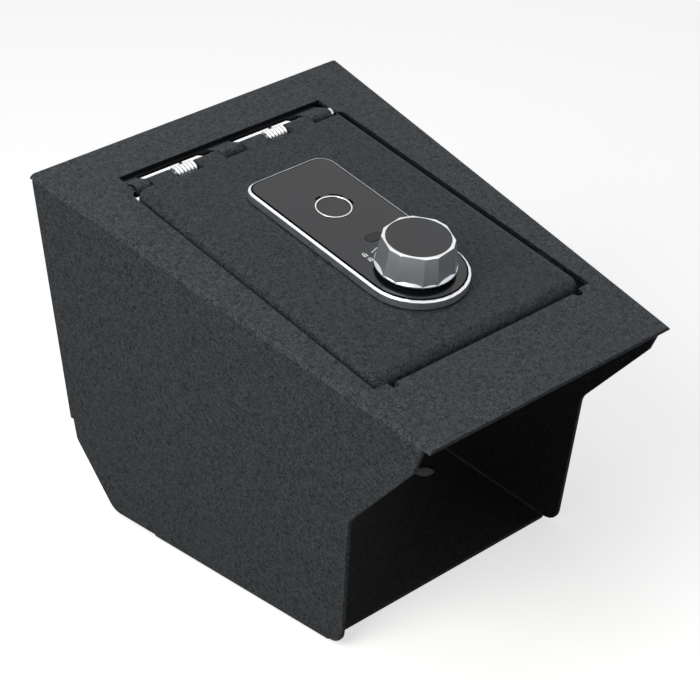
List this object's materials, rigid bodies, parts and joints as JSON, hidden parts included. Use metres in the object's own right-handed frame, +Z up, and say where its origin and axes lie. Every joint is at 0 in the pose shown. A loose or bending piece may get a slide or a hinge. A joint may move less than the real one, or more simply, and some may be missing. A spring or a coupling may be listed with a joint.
{
  "type": "console safe",
  "caption": "Sloping sheet-steel safe for a vehicle's centre console, open to front and back, with a sprung hinged lid that carries a knob lock and a fingerprint reader.",
  "frame": {"origin": "centre of the bounding box at the floor's underside", "axes": "+Z up, +Y from the low open front to the high hinge side, +X to the right as seen from the front"},
  "size_m": [0.1784, 0.2416, 0.1788],
  "materials": {
    "coated": "black wrinkle powder coat",
    "steel": "zinc plated or bright steel",
    "rubber": "matt black",
    "satin": "satin silver, bright bevel",
    "chrome": "bright chrome",
    "gloss": "gloss black",
    "black": "matt black",
    "brass": "plain",
    "cell": "plain sleeve, no print",
    "board": "green solder mask"
  },
  "bodies": {
    "body": {"body_shell": "coated", "hinge_leaf": "coated", "hinge_pin": "steel", "torsion_spring_left": "steel", "torsion_spring_right": "steel", "lid_stop_left": "coated", "lid_stop_right": "coated", "lid_bumper_left": "rubber", "lid_bumper_right": "rubber"},
    "lid": {"lid_pan": "coated", "bezel_gasket": "rubber", "lock_bezel": "satin", "lock_panel": "gloss", "fingerprint_ring": "chrome", "fingerprint_sensor": "black", "knob_seat_ring": "black", "spindle_bush": "brass", "solenoid": "steel", "lock_case": "black", "battery_left": "cell", "battery_right": "cell", "battery_contact_front": "steel", "battery_contact_rear": "steel", "circuit_board": "board", "case_screw_1": "steel", "case_screw_2": "steel", "case_screw_3": "steel", "case_screw_4": "steel"},
    "knob": {"knob_grip": "chrome", "knob_cap": "gloss", "spindle": "steel", "spindle_clip": "steel", "locking_collar": "steel", "latch_tongue": "steel", "tongue_washer": "steel", "tongue_screw": "steel"},
    "battery_door": {"battery_door": "black"},
    "port_plug": {"port_plug": "rubber"},
    "locking_pin": {"locking_pin": "steel"}
  },
  "joints": [
    {"name": "lid_hinge", "type": "hinge", "parent": "body", "child": "lid", "pos_m": [0, 0.08438, 0.1711], "axis": [-1, 0, 0], "range_deg": [0, 100], "deforming": ["torsion_spring_left", "torsion_spring_right"]},
    {"name": "knob_turn", "type": "hinge", "parent": "lid", "child": "knob", "pos_m": [0, -0.03626, 0.15037], "axis": [0, -0.181, 0.9835], "range_deg": [0, 90]},
    {"name": "battery_door_slide", "type": "slide", "parent": "lid", "child": "battery_door", "axis": [0, 0.9835, 0.181], "range_m": [0, 0.025]},
    {"name": "port_plug_pull", "type": "slide", "parent": "lid", "child": "port_plug", "axis": [0, -0.181, 0.9835], "range_m": [0, 0.004]},
    {"name": "locking_pin_slide", "type": "slide", "parent": "lid", "child": "locking_pin", "axis": [0, -0.9835, -0.181], "range_m": [0, 0.0026]}
  ]
}
